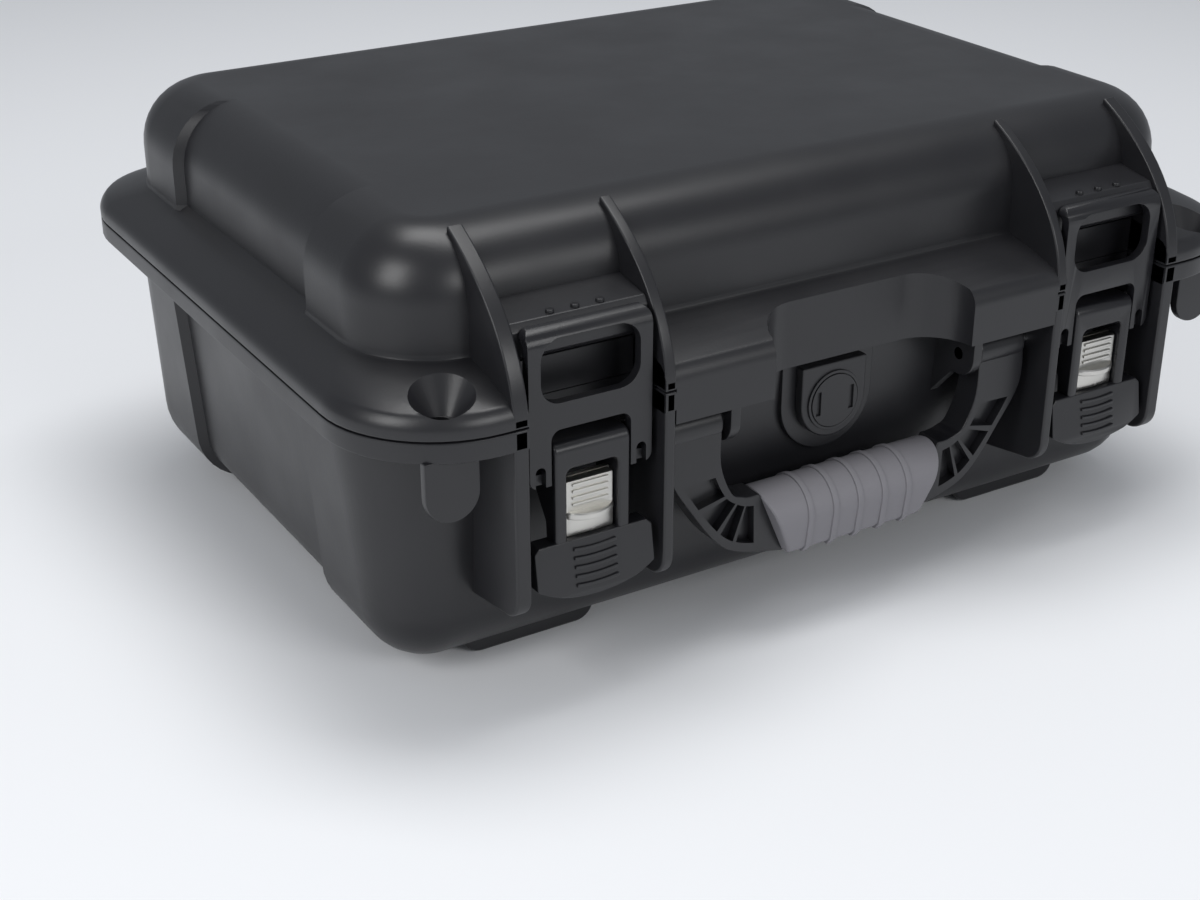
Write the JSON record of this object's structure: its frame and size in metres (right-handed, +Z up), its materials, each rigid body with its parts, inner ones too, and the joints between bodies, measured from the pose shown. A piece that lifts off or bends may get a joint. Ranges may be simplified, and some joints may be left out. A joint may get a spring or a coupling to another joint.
{
  "type": "drone carrying case",
  "caption": "Hard shell carrying case with hinged lid, compound draw latches, folding soft-grip handle, pressure valve and pocketed foam for a folding drone.",
  "frame": {"origin": "centre of the case in plan, on the plane under the feet", "axes": "+X along the width to the case's left seen from behind, -Y the latch and handle side, +Z up"},
  "size_m": [0.412, 0.328, 0.178],
  "materials": {
    "shell": "satin, fine moulded texture",
    "latch": "satin",
    "handle": "satin",
    "valve": "satin",
    "soft_grip": "soft touch",
    "seal": "soft",
    "lock_metal": "cast, satin",
    "pin_steel": "ground",
    "membrane": "matte",
    "foam": "open cell foam"
  },
  "bodies": {
    "base": {"base_shell": "shell", "base_foam": "foam", "left_hinge_pin": "pin_steel", "right_hinge_pin": "pin_steel", "left_lever_pin": "pin_steel", "right_lever_pin": "pin_steel", "left_handle_pin": "pin_steel", "right_handle_pin": "pin_steel", "valve_body": "valve", "valve_disc": "valve", "valve_seal": "seal", "valve_membrane": "membrane", "valve_nut": "valve"},
    "lid": {"lid_shell": "shell", "left_latch_bracket": "shell", "right_latch_bracket": "shell", "lid_foam": "foam", "lid_gasket": "seal"},
    "left_lever": {"left_latch_lever": "latch", "left_claw_pin": "pin_steel"},
    "left_claw": {"left_latch_claw": "latch"},
    "left_slide": {"left_slide_lock": "lock_metal"},
    "right_lever": {"right_latch_lever": "latch", "right_claw_pin": "pin_steel"},
    "right_claw": {"right_latch_claw": "latch"},
    "right_slide": {"right_slide_lock": "lock_metal"},
    "handle": {"handle_frame": "handle", "handle_grip": "soft_grip"}
  },
  "joints": [
    {"name": "lid_hinge", "type": "hinge", "parent": "base", "child": "lid", "pos_m": [0, 0.158, 0.118], "axis": [-1, 0, 0], "range_deg": [0, 100]},
    {"name": "left_lever_pivot", "type": "hinge", "parent": "base", "child": "left_lever", "pos_m": [-0.122, -0.149, 0.103], "axis": [-1, 0, 0], "range_deg": [0, 90]},
    {"name": "left_claw_pivot", "type": "hinge", "parent": "left_lever", "child": "left_claw", "pos_m": [-0.122, -0.146, 0.091], "axis": [-1, 0, 0], "range_deg": [-103.5, 0]},
    {"name": "left_slide_travel", "type": "slide", "parent": "left_lever", "child": "left_slide", "axis": [0, 0, 1], "range_m": [0, 0.005]},
    {"name": "right_lever_pivot", "type": "hinge", "parent": "base", "child": "right_lever", "pos_m": [0.122, -0.149, 0.103], "axis": [-1, 0, 0], "range_deg": [0, 90]},
    {"name": "right_claw_pivot", "type": "hinge", "parent": "right_lever", "child": "right_claw", "pos_m": [0.122, -0.146, 0.091], "axis": [-1, 0, 0], "range_deg": [-103.5, 0]},
    {"name": "right_slide_travel", "type": "slide", "parent": "right_lever", "child": "right_slide", "axis": [0, 0, 1], "range_m": [0, 0.005]},
    {"name": "handle_pivot", "type": "hinge", "parent": "base", "child": "handle", "pos_m": [0, -0.147, 0.094], "axis": [-1, 0, 0], "range_deg": [0, 90]}
  ],
  "couplings": [
    {"joint": "left_claw_pivot", "follows": "left_lever_pivot", "ratio": -1.15},
    {"joint": "right_claw_pivot", "follows": "right_lever_pivot", "ratio": -1.15}
  ]
}
